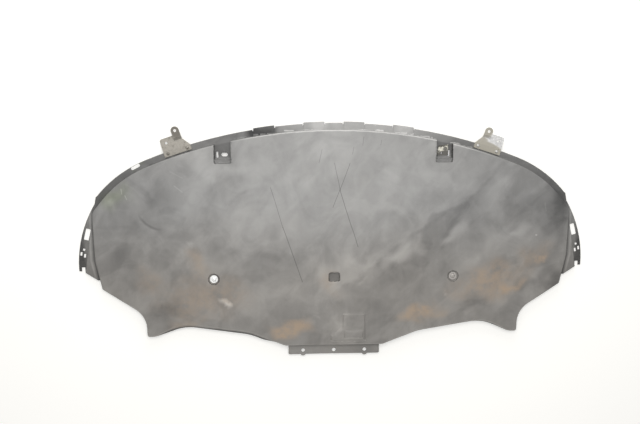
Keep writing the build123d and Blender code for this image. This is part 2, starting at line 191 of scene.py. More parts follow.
def turn_node(tree, place, angle, middle=(0, 0, 0)):
    """Place as read in a frame turned by an angle about a middle point in plan."""
    links = {"Vector": place, "Center": middle, "Angle": angle}
    return shader_node(tree, "VectorRotate", links, rotation_type="Z_AXIS", invert=True).outputs[0]


def step_node(tree, value, start, end, low=0.0, high=1.0, kind="SMOOTHSTEP"):
    """Smooth step from low at start to high at end, or a straight ramp if kind is LINEAR."""
    links = {"Value": value, "From Min": start, "From Max": end, "To Min": low, "To Max": high}
    return shader_node(tree, "MapRange", links, interpolation_type=kind).outputs["Result"]


def noise_node(tree, place, scale, detail=2.0, roughness=0.5, swirl=0.0):
    """Grey noise at a place, about 0.5 on average."""
    links = {"Vector": place, "Scale": scale, "Detail": detail, "Roughness": roughness, "Distortion": swirl}
    return shader_node(tree, "TexNoise", links).outputs["Fac"]


def add_noise(tree, value, noise, strength):
    """Value plus a noise about zero, times its strength."""
    return math_node(tree, "MULTIPLY_ADD", math_node(tree, "SUBTRACT", noise, 0.5), strength, value)


def mix_node(tree, share, first, second):
    """Colour mixed from first to second by share."""
    links = {0: share, 6: first, 7: second}
    return shader_node(tree, "Mix", links, data_type="RGBA").outputs[2]


def painted(tree, name):
    """Value of the panel's own attribute of that name."""
    return shader_node(tree, "Attribute", attribute_name=name).outputs["Fac"]


def effect_group(name, inputs, outputs):
    """Empty shader node group with those sockets, and its input and output nodes."""
    group = bpy.data.node_groups.new(name, "ShaderNodeTree")
    for direction, sockets in (("INPUT", inputs), ("OUTPUT", outputs)):
        for socket, kind in sockets.items():
            group.interface.new_socket(name=socket, in_out=direction, socket_type="NodeSocket" + kind)
    return group, group.nodes.new("NodeGroupInput").outputs, group.nodes.new("NodeGroupOutput").inputs


def group_output(tree, group, links, output):
    """One output of a node group placed in a tree."""
    return shader_node(tree, "Group", links, node_tree=group).outputs[output]


def scratch_group():
    """Straight scratch in plan from Start to End: 1 on its line, 0 from Width away."""
    inputs = {"Place": "Vector", "Start": "Vector", "End": "Vector", "Width": "Float"}
    group, given, result = effect_group("scratch", inputs, {"Mask": "Float"})
    from_start = plan_node(group, given["Place"], given["Start"])
    run = vector_node(group, "SUBTRACT", given["End"], given["Start"])
    along = dot_node(group, from_start, run)
    share = math_node(group, "DIVIDE", along, dot_node(group, run, run), clamp=True)
    away = vector_node(group, "SUBTRACT", from_start, scale_node(group, run, share))
    group.links.new(step_node(group, length_node(group, away), given["Width"], 0.0), result["Mask"])
    return group


scratch = scratch_group()

# Dust on the road face: middle, half sizes, turn in degrees, soft edge and the grey it adds or wipes off
DUST = (
    ((0.00, 0.26), (0.74, 0.46), 0, 1.0, 0.11),
    ((0.04, -0.150), (0.22, 0.150), 5, 0.9, 0.075),
    ((-0.384, 0.235), (0.075, 0.045), -15, 0.8, 0.07),
    ((-0.290, 0.223), (0.085, 0.036), 12, 0.8, 0.06),
    ((-0.103, 0.210), (0.130, 0.075), 20, 0.9, 0.03),
    ((-0.444, 0.180), (0.075, 0.060), 40, 0.9, 0.03),
    ((-0.240, 0.070), (0.190, 0.110), 25, 0.9, 0.04),
    ((0.107, 0.100), (0.170, 0.120), 10, 0.9, 0.03),
    ((0.205, -0.040), (0.090, 0.036), 42, 0.8, 0.15),
    ((0.262, -0.010), (0.050, 0.020), 55, 0.8, 0.10),
    ((0.375, 0.030), (0.080, 0.030), 42, 0.8, 0.13),
    ((0.573, 0.027), (0.050, 0.014), 50, 0.9, 0.08),
    ((0.505, 0.164), (0.075, 0.050), 35, 0.9, 0.06),
    ((0.460, -0.020), (0.170, 0.090), 25, 0.9, 0.03),
    ((-0.015, -0.120), (0.070, 0.075), 0, 0.9, 0.04),
    ((-0.200, -0.170), (0.200, 0.090), 5, 0.9, 0.04),
    ((-0.418, -0.001), (0.035, 0.026), 20, 0.9, 0.06),
    ((-0.420, 0.285), (0.080, 0.030), 22, 0.9, 0.06),
    ((0.060, -0.080), (0.190, 0.070), 10, 0.9, 0.045),
    ((0.480, 0.110), (0.060, 0.045), 35, 0.9, 0.06),
    ((-0.640, -0.050), (0.070, 0.120), 0, 0.9, -0.06),
    ((-0.540, 0.150), (0.130, 0.080), 30, 0.9, -0.045),
    ((0.705, 0.150), (0.050, 0.060), -40, 0.9, -0.07),
    ((0.690, 0.130), (0.080, 0.090), -35, 0.9, -0.09),
    ((0.710, -0.110), (0.060, 0.050), 0, 0.9, -0.12),
    ((-0.566, 0.086), (0.032, 0.012), -52, 0.9, 0.05),
    ((-0.659, 0.112), (0.030, 0.012), -45, 0.9, 0.06),
    ((-0.681, 0.010), (0.016, 0.008), -30, 0.9, 0.06),
    ((-0.569, 0.230), (0.020, 0.010), 27, 0.8, 0.14),
    ((-0.418, -0.001), (0.014, 0.014), 0, 0.9, 0.10),
    ((-0.465, -0.030), (0.050, 0.030), 15, 0.9, 0.06),
    ((-0.600, 0.060), (0.070, 0.060), 0, 0.9, -0.05),
    ((-0.600, -0.110), (0.080, 0.060), 0, 0.9, -0.05),
    ((-0.322, -0.193), (0.020, 0.014), 0, 0.7, 0.36),
    ((0.364, -0.154), (0.010, 0.014), 20, 0.9, 0.08),
    ((0.085, -0.110), (0.030, 0.010), 43, 0.9, 0.05),
    ((-0.343, 0.222), (0.036, 0.016), -12, 0.9, -0.06),
    ((-0.520, 0.165), (0.080, 0.050), 40, 0.9, -0.03),
    ((-0.334, -0.023), (0.060, 0.040), 0, 0.9, -0.06),
    ((-0.200, -0.034), (0.110, 0.035), -8, 0.9, -0.03),
    ((-0.530, 0.040), (0.100, 0.090), 20, 0.9, -0.03),
    ((-0.515, -0.218), (0.070, 0.045), 15, 0.8, -0.07),
    ((0.377, 0.086), (0.110, 0.040), 35, 0.9, -0.04),
    ((0.597, 0.070), (0.065, 0.080), -10, 0.9, -0.05),
    ((0.710, 0.036), (0.050, 0.120), 0, 0.9, -0.07),
    ((0.650, -0.135), (0.080, 0.030), 20, 0.8, -0.06),
    ((0.460, -0.208), (0.090, 0.035), 5, 0.9, -0.05),
    ((0.158, -0.210), (0.130, 0.060), 15, 0.9, -0.04),
    ((0.330, -0.104), (0.150, 0.060), 20, 0.9, -0.03),
    ((0.680, 0.090), (0.070, 0.150), 10, 0.9, -0.045),
    ((0.035, -0.262), (0.034, 0.030), 0, 0.5, 0.045),
)
# Dried mud: middle, half sizes, turn, soft edge and how far it covers the dust
MUD = (
    ((-0.400, -0.170), (0.190, 0.090), 8, 0.9, 0.45),
    ((-0.420, -0.060), (0.050, 0.060), 10, 0.9, 0.40),
    ((-0.560, -0.110), (0.070, 0.060), 15, 0.9, 0.30),
    ((-0.134, -0.272), (0.078, 0.042), 6, 0.6, 0.90),
    ((-0.020, -0.130), (0.050, 0.065), 0, 0.9, 0.35),
    ((0.268, -0.226), (0.095, 0.038), 14, 0.8, 0.85),
    ((0.557, -0.149), (0.052, 0.022), 10, 0.8, 0.95),
    ((0.480, -0.130), (0.160, 0.080), 10, 0.9, 0.65),
    ((0.652, -0.070), (0.038, 0.024), 20, 0.6, 0.85),
    ((0.620, -0.050), (0.080, 0.060), 20, 0.9, 0.35),
    ((-0.455, -0.254), (0.090, 0.024), 8, 0.9, 0.40),
    ((-0.322, -0.193), (0.020, 0.014), 0, 0.7, 0.45),
)
# Dust on the low faces, where the sheet is blacker: front flange, ledges, feet and rear flange, whose strip
# is also lifted as painted light
RIM_DUST_AND_PAINTED_LIGHT = (
    ((0.00, 0.300), (0.95, 0.450), 0, 0.5, 0.11),
    ((0.06, 0.350), (0.42, 0.070), -3, 0.9, 0.24),
    ((-0.045, 0.358), (0.034, 0.030), 0, 0.6, 0.12),
    ((0.213, 0.345), (0.036, 0.030), 0, 0.6, 0.10),
    ((-0.215, 0.340), (0.056, 0.045), 8, 0.4, -0.16),
    ((-0.735, 0.010), (0.034, 0.150), 0, 0.5, 0.15),
    ((0.735, 0.010), (0.034, 0.150), 0, 0.5, 0.14),
    # Painted light: the rear flange's strip is made lighter to offset the shadow the panel's rear edge casts
    # on it
    ((0.00, -0.345), (0.190, 0.050), 0, 0.3, 0.25),
    ((0.080, -0.345), (0.100, 0.060), 0, 0.9, -0.07),
    ((0.00, -0.106), (0.030, 0.030), 0, 0.5, 0.11),
    ((0.368, -0.109), (0.030, 0.030), 0, 0.5, 0.14),
)
# Lighter patch at the rear of the two clip pockets: painted light that offsets the shade there, over some
# dust
POCKET_DUST_AND_PAINTED_LIGHT = tuple(((side * 0.332, 0.250), (0.045, 0.022), 0, 0.6, 0.11) for side in (-1, 1))
# Scratches, scuffs and folds: ends, half width, and how much darker or lighter they leave the dust
MARKS = (
    ((-0.191, 0.173), (-0.155, 0.050), 0.0014, 0.55),
    ((-0.155, 0.050), (-0.098, -0.120), 0.0018, 0.50),
    ((0.000, 0.245), (0.017, 0.164), 0.0013, 0.50),
    ((0.017, 0.164), (0.072, -0.012), 0.0017, 0.50),
    ((0.047, 0.244), (-0.004, 0.111), 0.0014, 0.50),
    ((-0.037, 0.286), (-0.046, 0.245), 0.0013, 0.60),
    ((0.058, 0.292), (0.054, 0.271), 0.0012, 0.60),
    ((0.088, 0.321), (0.085, 0.297), 0.0012, 0.60),
    ((0.142, 0.312), (0.139, 0.297), 0.0012, 0.60),
    ((-0.477, 0.179), (-0.454, 0.161), 0.0030, 1.20),
    ((-0.488, 0.221), (-0.453, 0.203), 0.0035, 1.12),
    ((-0.635, 0.170), (-0.633, 0.155), 0.0025, 1.45),
    ((-0.624, 0.150), (-0.619, 0.138), 0.0025, 1.40),
    ((0.648, 0.116), (0.653, 0.091), 0.0030, 1.25),
    ((0.624, 0.016), (0.626, 0.016), 0.0035, 1.80),
)
PANEL_GREY = 0.255
RIM_GREY = 0.050
# Grey of the pockets behind the front bend: painted shade for the shade they lie in, over a thin film of
# dust
POCKET_GREY_AND_SHADE = 0.065
DARKEST = 0.02
DUST_WARM = (1.0, 0.945, 0.870, 1)
DUST_COOL = (1.0, 0.985, 0.955, 1)
OLIVE = (0.95, 1.0, 0.80, 1)
MUD_COLOUR = (0.395, 0.300, 0.215, 1)
BARE_PLASTIC = (0.030, 0.030, 0.029, 1)
# Olive growth: middle, half sizes, turn, soft edge and strength
OLIVE_FILM = (
    ((-0.655, 0.135), (0.065, 0.050), 30, 0.9, 0.9),
    ((-0.575, 0.228), (0.030, 0.014), 28, 0.8, 0.8),
)


# The long diagonal, below which the grey is darker
DIAGONAL_MIDDLE = (0.245, 0.028, 0.0)
DIAGONAL_TURN = radians(38.7)
DIAGONAL_RAGGED = (0.09, 0.09, 0.0)
DIAGONAL_EDGE = (0.008, -0.010)
DIAGONAL_FADE = (-0.19, -0.05)
DIAGONAL_ENDS = (0.38, 0.24)
BELOW_DIAGONAL_GREY = -0.075


def below_diagonal_share(tree, place, push):
    """1 just below the long diagonal, with a sharp, ragged start along its line, fading out behind it."""
    ragged = vector_node(tree, "MULTIPLY_ADD", push, DIAGONAL_RAGGED, place)
    turned = turn_node(tree, ragged, DIAGONAL_TURN, DIAGONAL_MIDDLE)
    diagonal = axes_node(tree, vector_node(tree, "SUBTRACT", turned, DIAGONAL_MIDDLE))
    edge = step_node(tree, diagonal["Y"], *DIAGONAL_EDGE)
    fade = step_node(tree, diagonal["Y"], *DIAGONAL_FADE)
    ends = step_node(tree, math_node(tree, "ABSOLUTE", diagonal["X"]), *DIAGONAL_ENDS)
    return product_node(tree, edge, fade, ends)


def dust_tone(tree, place, push, blots, grain):
    """Grey of the dust: painted patches, the darker side of the long diagonal, soft clouds, smears, runs and
    fine grain.
    """
    across_smears = vector_node(tree, "MULTIPLY", turn_node(tree, place, radians(48)), (6.0, 15.0, 1.0))
    across_runs = vector_node(tree, "MULTIPLY", turn_node(tree, place, radians(4)), (70.0, 8.0, 1.0))
    clouds = step_node(tree, noise_node(tree, place, 7.5, 3.0, 0.5, 1.4), 0.38, 0.60)
    smears = step_node(tree, noise_node(tree, across_smears, 1.0, 3.0, 0.5, 0.6), 0.40, 0.66)
    runs = noise_node(tree, across_runs, 1.0, 3.0, 0.6)
    tone = math_node(tree, "MULTIPLY_ADD", below_diagonal_share(tree, place, push), BELOW_DIAGONAL_GREY, painted(tree, "dust"))
    for noise, strength in ((clouds, 0.045), (blots, 0.09), (smears, 0.040), (runs, 0.025), (grain, 0.035)):
        tone = add_noise(tree, tone, noise, strength)
    return tone


def depth_below_crown(tree, place):
    """How far a point lies below the crown's surface."""
    from_middle = plan_node(tree, place, (0.0, CROWN_MIDDLE_Y, 0.0))
    square = dot_node(tree, from_middle, from_middle)
    crown = math_node(tree, "MULTIPLY_ADD", square, -0.5 / CROWN_RADIUS, CROWN_TOP)
    return math_node(tree, "SUBTRACT", crown, axes_node(tree, place)["Z"])


# Arc of the panel's front edge in plan
FRONT_ARC_MIDDLE = (0.0, -1.1586, 0.0)
FRONT_ARC_RADIUS = 1.502


def rim_tone_and_shade(tree, place, facing, beyond, blots, grain):
    """Grey of the low faces: nearly bare black plastic, darker still as painted shade where they lie sunk in
    shade. The flanges hold some dust, the front one only outside its bend, the pockets behind it a thin film
    under painted shade, and upright walls the least."""
    pocket = step_node(tree, axes_node(tree, place)["Y"], 0.20, 0.24)
    behind = product_node(tree, pocket, step_node(tree, beyond, -0.001, -0.006))
    tone = product_node(tree, painted(tree, "rim_dust_and_painted_light"), math_node(tree, "SUBTRACT", 1.0, behind))
    tone = math_node(tree, "ADD", math_node(tree, "MULTIPLY_ADD", behind, POCKET_GREY_AND_SHADE, tone), RIM_GREY)
    tone = math_node(tree, "ADD", tone, painted(tree, "pocket_dust_and_painted_light"))
    tone = add_noise(tree, add_noise(tree, tone, blots, 0.12), grain, 0.04)
    return product_node(tree, tone, step_node(tree, facing["Z"], 0.1, 0.8, 0.6, 1.0))


# Light lines on the bends, painted highlights with rubbing on the front one: the front one's middle and the
# half lengths where it starts to fade and ends, and the greys
FRONT_BEND_LINE_X = 0.09
FRONT_BEND_LINE_ENDS = (0.42, 0.26)
FRONT_BEND_HIGHLIGHT_AND_SCUFF = 0.20
REAR_BEND_HIGHLIGHT = 0.11


def bend_highlights_and_scuffs(tree, place, facing, depth, beyond, tone):
    """Tone with a light line along the middle of the front edge, a painted highlight on the rubbed bend, and
    one along the rear edge, a painted highlight on its bend.
    """
    parts = axes_node(tree, place)
    leaning = product_node(
        tree, step_node(tree, facing["Y"], 0.12, 0.35), step_node(tree, facing["Y"], 0.98, 0.8)
    )
    on_edge = step_node(tree, math_node(tree, "ABSOLUTE", beyond), 0.010, 0.006)
    along = step_node(tree, off_node(tree, parts["X"], FRONT_BEND_LINE_X), *FRONT_BEND_LINE_ENDS)
    front = product_node(tree, leaning, on_edge, along)
    tone = math_node(tree, "MULTIPLY_ADD", front, FRONT_BEND_HIGHLIGHT_AND_SCUFF, tone)
    leaning = step_node(tree, facing["Y"], -0.05, -0.25)
    on_edge = step_node(tree, depth, 0.005, 0.002)
    rear = product_node(tree, leaning, on_edge, step_node(tree, parts["Y"], -0.16, -0.20))
    return math_node(tree, "MULTIPLY_ADD", rear, REAR_BEND_HIGHLIGHT, tone)


# Foot of each side in plan: straight to the waist, then turned in towards the foot
SIDE_X = 0.727
SIDE_WAIST_Y = -0.050
SIDE_FOOT_Y = -0.140
SIDE_TURN_IN = 0.018
# Side lines: painted shade in the groove and a painted highlight on the ledge's crest
GROOVE_OUT = 0.002
CREST_OUT = 0.012
GROOVE_PAINTED_SHADE = -0.50
CREST_PAINTED_HIGHLIGHT = 0.40


def side_painted_shade_and_highlight(tree, place, shade):
    """Shade with painted shade in the groove at the foot of each side and a painted highlight on the crest
    of the ledge beside it.
    """
    parts = axes_node(tree, place)
    turned_in = step_node(tree, parts["Y"], SIDE_WAIST_Y, SIDE_FOOT_Y, 0.0, SIDE_TURN_IN, "LINEAR")
    inset = math_node(tree, "SUBTRACT", turned_in, SIDE_X)
    outside = math_node(tree, "ADD", math_node(tree, "ABSOLUTE", parts["X"]), inset)
    beside = step_node(tree, parts["Y"], 0.13, 0.08)
    for line, strength in ((CREST_OUT, CREST_PAINTED_HIGHLIGHT), (GROOVE_OUT, GROOVE_PAINTED_SHADE)):
        on_line = product_node(tree, step_node(tree, off_node(tree, outside, line), 0.005, 0.001), beside)
        shade = math_node(tree, "MULTIPLY_ADD", on_line, strength, shade)
    return shade


# Painted shade in the hollow of the round crease at the left
CREASE_HOLLOW = (-0.561, 0.060, 0.0)
CREASE_PAINTED_SHADE = -0.34
MARK_RAGGED = (0.0045, 0.0045, 0.0)


def mark_shade(tree, place, push):
    """Factor on the tone: painted shade in the hollow of the round crease, and as listed along each mark."""
    arc = length_node(tree, plan_node(tree, place, (*CREASE_MIDDLE, 0.0)))
    on_arc = step_node(tree, off_node(tree, arc, CREASE_RADIUS), 0.007, 0.0)
    in_hollow = step_node(tree, length_node(tree, plan_node(tree, place, CREASE_HOLLOW)), 0.055, 0.015)
    shade = math_node(tree, "MULTIPLY_ADD", product_node(tree, on_arc, in_hollow), CREASE_PAINTED_SHADE, 1.0)
    uneven_place = vector_node(tree, "MULTIPLY_ADD", push, MARK_RAGGED, place)
    for start, end, width, strength in MARKS:
        links = {"Place": uneven_place, "Start": (*start, 0.0), "End": (*end, 0.0), "Width": width}
        mask = group_output(tree, scratch, links, "Mask")
        shade = math_node(tree, "MULTIPLY_ADD", mask, strength - 1, shade)
    return side_painted_shade_and_highlight(tree, place, shade)


def worn_plastic_and_painted_light():
    """Black moulded plastic under grey dust, brown mud and scratches, darker where it lies low, partly as
    painted shade.
    """
    material = bpy.data.materials.new("worn_plastic_and_painted_light")
    material.use_nodes = True
    tree = material.node_tree
    shader = tree.nodes["Principled BSDF"]
    place = shader_node(tree, "TexCoord").outputs["Object"]
    facing = axes_node(tree, shader_node(tree, "NewGeometry").outputs["Normal"])
    push = shader_node(tree, "TexNoise", {"Vector": place, "Scale": 11.0, "Detail": 4.0}).outputs["Color"]
    push = vector_node(tree, "SUBTRACT", push, (0.5, 0.5, 0.5))
    blots = noise_node(tree, place, 22.0, 4.0, 0.5, 0.9)
    grain = noise_node(tree, place, 240.0, 3.0, 0.7)
    crumbs = noise_node(tree, place, 38.0, 6.0, 0.65)

    # Dust on the road face gives way to the rim's own tone on low and upright faces, with painted shade
    # where they lie in shade
    depth = depth_below_crown(tree, place)
    arc = length_node(tree, plan_node(tree, place, FRONT_ARC_MIDDLE))
    beyond = math_node(tree, "SUBTRACT", arc, FRONT_ARC_RADIUS)
    sunk = step_node(tree, depth, 0.004, 0.008)
    low = math_node(tree, "MAXIMUM", sunk, step_node(tree, facing["Z"], 0.75, 0.35))
    tone = dust_tone(tree, place, push, blots, grain)
    rim_and_shade = rim_tone_and_shade(tree, place, facing, beyond, blots, grain)
    tone = math_node(tree, "MULTIPLY_ADD", low, math_node(tree, "SUBTRACT", rim_and_shade, tone), tone)
    tone = bend_highlights_and_scuffs(tree, place, facing, depth, beyond, tone)
    shade = mark_shade(tree, place, push)
    tone = math_node(tree, "MAXIMUM", math_node(tree, "MULTIPLY", tone, shade), DARKEST)

    # Warmer to the rear, olive in places, mud on the road face, and bare plastic underneath
    warmth = step_node(tree, axes_node(tree, place)["Y"], 0.16, -0.16)
    warmth = add_noise(tree, warmth, noise_node(tree, place, 6.0, 3.0), 0.6)
    tint = mix_node(tree, math_node(tree, "MULTIPLY", warmth, 0.9, clamp=True), DUST_COOL, DUST_WARM)
    tint = mix_node(tree, painted(tree, "olive"), tint, OLIVE)
    mud = product_node(tree, painted(tree, "mud"), step_node(tree, crumbs, 0.20, 0.62))
    mud = math_node(tree, "MULTIPLY", mud, step_node(tree, low, 1.0, 0.0), clamp=True)
    colour = mix_node(tree, mud, scale_node(tree, tint, tone), MUD_COLOUR)
    under = step_node(tree, facing["Z"], 0.0, -0.3)
    tree.links.new(mix_node(tree, under, colour, BARE_PLASTIC), shader.inputs["Base Color"])

    rough = math_node(tree, "MULTIPLY_ADD", grain, 0.25, 0.48)
    tree.links.new(rough, shader.inputs["Roughness"])
    height = math_node(tree, "MULTIPLY_ADD", shade, 0.9, math_node(tree, "MULTIPLY", grain, 0.4))
    height = math_node(tree, "ADD", height, math_node(tree, "MULTIPLY", mud, crumbs))
    bump = shader_node(tree, "Bump", {"Height": height, "Strength": 0.35, "Distance": 0.0006})
    tree.links.new(bump.outputs["Normal"], shader.inputs["Normal"])
    return material


def oval_patches(x, y, entries):
    """Sum of soft ovals: each is its strength inside, and falls by a smooth step over the share edge of its
    half sizes."""
    total = np.zeros_like(x)
    for middle, reach, turn, edge, strength in entries:
        away_x, away_y = x - middle[0], y - middle[1]
        along = (away_x * cos(radians(turn)) + away_y * sin(radians(turn))) / reach[0]
        across = (away_y * cos(radians(turn)) - away_x * sin(radians(turn))) / reach[1]
        near = np.clip((1 - np.hypot(along, across)) / edge, 0, 1)
        total += strength * near**2 * (3 - 2 * near)
    return total


# Crossed waves that push the painted ovals about: height, waves a metre in x and in y, and phase
RAGGED_X = ((0.012, 4.1, 7.3, 0.0), (0.007, 11.3, -6.7, 1.3))
RAGGED_Y = ((0.012, 6.3, -3.7, 2.0), (0.007, 8.9, 12.1, 0.0))


def crossed_waves(x, y, waves):
    """Sum of each wave's height times the sine of its turns at (x, y)."""
    total = np.zeros_like(x)
    for height, in_x, in_y, phase in waves:
        total += height * np.sin(2 * pi * (in_x * x + in_y * y) + phase)
    return total


def ragged_place(x, y):
    """Plan place pushed about by crossed sine waves, so that the ovals read there come out uneven."""
    return x + crossed_waves(x, y, RAGGED_X), y + crossed_waves(x, y, RAGGED_Y)


def paint_attribute(mesh, name, values):
    """Store one value for each vertex under a name that the material reads."""
    layer = mesh.attributes.new(name, "FLOAT", "POINT")
    layer.data.foreach_set("value", np.ascontiguousarray(values, np.float32))


# Flare of the turned rear lip: its reach at the left and right, depths below the crown, and stretch
LIP_FLARE_LEFT = 0.009
LIP_FLARE_RIGHT = 0.004
LIP_START_DEPTH = 0.003
LIP_RUN = 0.008
LIP_INNER_X = 0.17
LIP_INNER_FADE = 0.05
LIP_OUTER_X = 0.56
LIP_OUTER_FADE = 0.06
LIP_FRONT_Y = -0.20


def lip_flare(x, y, z):
    """Push to the rear along the rear lip: a ramp in depth below the crown, from nothing to the full flare,
    times a ramp up at the inner end of the lip and one down at its outer end."""
    crown = CROWN_TOP - (x**2 + (y - CROWN_MIDDLE_Y) ** 2) / (2 * CROWN_RADIUS)
    deep = np.clip((crown - z - LIP_START_DEPTH) / LIP_RUN, 0, 1)
    inner = np.clip((np.abs(x) - LIP_INNER_X) / LIP_INNER_FADE, 0, 1)
    outer = np.clip((LIP_OUTER_X - np.abs(x)) / LIP_OUTER_FADE, 0, 1)
    return np.where(x < 0, LIP_FLARE_LEFT, LIP_FLARE_RIGHT) * deep * inner * outer * (y < LIP_FRONT_Y)


SHARP_BEND = radians(38)

panel_mesh = cut_sheet("cover_panel", SHEET_CELL)
corners = np.empty(len(panel_mesh.vertices) * 3, np.float32)
panel_mesh.vertices.foreach_get("co", corners)
corners = corners.reshape(-1, 3)
uneven = ragged_place(corners[:, 0], corners[:, 1])
paint_attribute(panel_mesh, "dust", PANEL_GREY + oval_patches(*uneven, DUST))
paint_attribute(panel_mesh, "mud", np.clip(oval_patches(*uneven, MUD), 0, 1))
paint_attribute(panel_mesh, "olive", np.clip(oval_patches(*uneven, OLIVE_FILM), 0, 1))
paint_attribute(panel_mesh, "rim_dust_and_painted_light", oval_patches(corners[:, 0], corners[:, 1], RIM_DUST_AND_PAINTED_LIGHT))
paint_attribute(panel_mesh, "pocket_dust_and_painted_light", oval_patches(corners[:, 0], corners[:, 1], POCKET_DUST_AND_PAINTED_LIGHT))
corners[:, 1] -= lip_flare(*corners.T)
corners[:, 2] += panel_warp(corners[:, 0], corners[:, 1])
panel_mesh.vertices.foreach_set("co", corners.ravel())
panel_mesh.shade_smooth()
panel_mesh.set_sharp_from_angle(angle=SHARP_BEND)
panel_mesh.materials.clear()
panel_mesh.materials.append(worn_plastic_and_painted_light())
panel = bpy.data.objects.new("worn_panel", panel_mesh)
bpy.context.scene.collection.objects.link(panel)
panel.modifiers.new("flat_faces_first", "WEIGHTED_NORMAL").keep_sharp = True
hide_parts("cover_panel")
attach(panel, "root")


# Brackets and their rivets
# Stamped sheet steel, zinc plated, one at each shoulder, riveted through the front flange. The right one
# is grey zinc under a beige film; the left one is stained brown, with a darker lug.

def soil_patch_group():
    """Oval patch in plan: 1 inside, falling to 0 over the share Edge of its half sizes."""
    inputs = {"Place": "Vector", "Middle": "Vector", "Reach": "Vector", "Turn": "Float", "Edge": "Float"}
    group, given, result = effect_group("soil patch", inputs, {"Mask": "Float"})
    from_middle = vector_node(group, "SUBTRACT", given["Place"], given["Middle"])
    scaled = vector_node(group, "DIVIDE", turn_node(group, from_middle, given["Turn"]), given["Reach"])
    distance = length_node(group, vector_node(group, "MULTIPLY", scaled, (1, 1, 0)))
    inner = math_node(group, "SUBTRACT", 1.0, given["Edge"])
    group.links.new(step_node(group, distance, 1.0, inner), result["Mask"])
    return group


soil_patch = soil_patch_group()


def steel(name, colour, stain, cover, roughness, films=()):
    """Zinc-plated sheet with a faint crystal pattern, under a stain in spots and in oval films."""
    material = bpy.data.materials.new(name)
    material.use_nodes = True
    tree = material.node_tree
    shader = tree.nodes["Principled BSDF"]
    place = shader_node(tree, "TexCoord").outputs["Object"]
    crystals = shader_node(tree, "TexVoronoi", {"Vector": place, "Scale": 260.0}).outputs["Color"]
    crystals = axes_node(tree, crystals)["X"]
    spots = noise_node(tree, place, 95.0, 6.0, 0.65)
    dirt = step_node(tree, spots, 0.72 - cover, 0.92 - cover)
    for middle, reach, turn, edge, strength in films:
        links = {"Place": place, "Middle": (*middle, 0.0), "Reach": (*reach, 1.0)}
        links.update({"Turn": radians(turn), "Edge": edge})
        film = math_node(tree, "MULTIPLY", group_output(tree, soil_patch, links, "Mask"), strength)
        dirt = math_node(tree, "MAXIMUM", dirt, film)
    shine = step_node(tree, crystals, 0.0, 1.0, 0.85, 1.05)
    bright = scale_node(tree, colour[:3], shine)
    tree.links.new(mix_node(tree, dirt, bright, stain), shader.inputs["Base Color"])
    tree.links.new(step_node(tree, dirt, 0.0, 1.0, 0.85, 0.1), shader.inputs["Metallic"])
    rough = math_node(tree, "MULTIPLY_ADD", crystals, 0.12, roughness)
    tree.links.new(math_node(tree, "MULTIPLY_ADD", dirt, 0.25, rough), shader.inputs["Roughness"])
    bump = shader_node(tree, "Bump", {"Height": spots, "Strength": 0.25, "Distance": 0.0004})
    tree.links.new(bump.outputs["Normal"], shader.inputs["Normal"])
    return material


ROUNDED_ANGLE = radians(40)
EDGE_SEGMENTS = 2


def finish_node(node, material, edge):
    """Give a CAD node its material, and round its sharp edges by edge metres."""
    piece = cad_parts[node]
    piece.data.materials.clear()
    piece.data.materials.append(material)
    piece.modifiers.new("joined", "WELD").merge_threshold = MERGE
    rounding = piece.modifiers.new("rounded", "BEVEL")
    rounding.width = edge
    rounding.segments = EDGE_SEGMENTS
    rounding.limit_method = "ANGLE"
    rounding.angle_limit = ROUNDED_ANGLE
    rounding.harden_normals = False


ZINC = (0.56, 0.555, 0.545, 1)
STAINED_ZINC = (0.300, 0.282, 0.250, 1)
BROWN_STAIN = (0.165, 0.148, 0.125, 1)
BEIGE_FILM = (0.36, 0.335, 0.275, 1)
# Films on the brackets: middle, half sizes, turn, soft edge and strength
RIGHT_BRACKET_FILMS = (
    ((0.464, 0.345), (0.026, 0.036), 0, 0.4, 0.90),
    ((0.455, 0.287), (0.070, 0.022), -18, 0.25, 0.90),
    ((0.442, 0.305), (0.032, 0.024), -18, 0.40, 0.85),
)
LEFT_BRACKET_FILMS = (((-0.468, 0.345), (0.026, 0.034), 0, 0.5, 0.75),)
RIVET_STEEL = (0.45, 0.44, 0.42, 1)
STAMPED_EDGE = 0.0004
TURNED_EDGE = 0.0002

bright_zinc = steel("bright_zinc", ZINC, BEIGE_FILM, 0.08, 0.38, RIGHT_BRACKET_FILMS)
stained_zinc = steel("stained_zinc", STAINED_ZINC, BROWN_STAIN, 0.17, 0.55, LEFT_BRACKET_FILMS)
rivet_steel = steel("rivet_steel", RIVET_STEEL, BROWN_STAIN, 0.15, 0.42)
stained_rivet = steel("stained_rivet", STAINED_ZINC, BROWN_STAIN, 0.30, 0.55)
finish_node("bracket_right", bright_zinc, STAMPED_EDGE)
finish_node("bracket_left", stained_zinc, STAMPED_EDGE)
finish_node("bracket_rivets_left", stained_rivet, TURNED_EDGE)
finish_node("bracket_rivets_right", rivet_steel, TURNED_EDGE)


# Clip nut
# Spring-steel strip folded over the pocket's edge, yellow zinc, with a threaded barrel below. It is darkened
# nearly to black, apart from a bar across its top.

YELLOW_ZINC = (0.58, 0.56, 0.48, 1)
CLIP_NEAR_BLACK = (0.105, 0.100, 0.090, 1)
CLIP_DARK_FILMS = (
    ((0.330, 0.266), (0.040, 0.014), 16, 0.4, 0.95),
    ((0.326, 0.297), (0.040, 0.008), 16, 0.5, 0.90),
)
yellow_zinc = steel("yellow_zinc", YELLOW_ZINC, CLIP_NEAR_BLACK, 0.30, 0.40, CLIP_DARK_FILMS)
finish_node("spring_nut", yellow_zinc, TURNED_EDGE)


# Retaining screws and washers
# Button-head steel screws, each on a large washer in one of the round recesses. The left pair is still
# bright, the right one dull and dirty.

BRIGHT_STEEL = (0.82, 0.82, 0.80, 1)
GREY_STAIN = (0.42, 0.40, 0.36, 1)
DULL_STEEL = (0.38, 0.36, 0.34, 1)

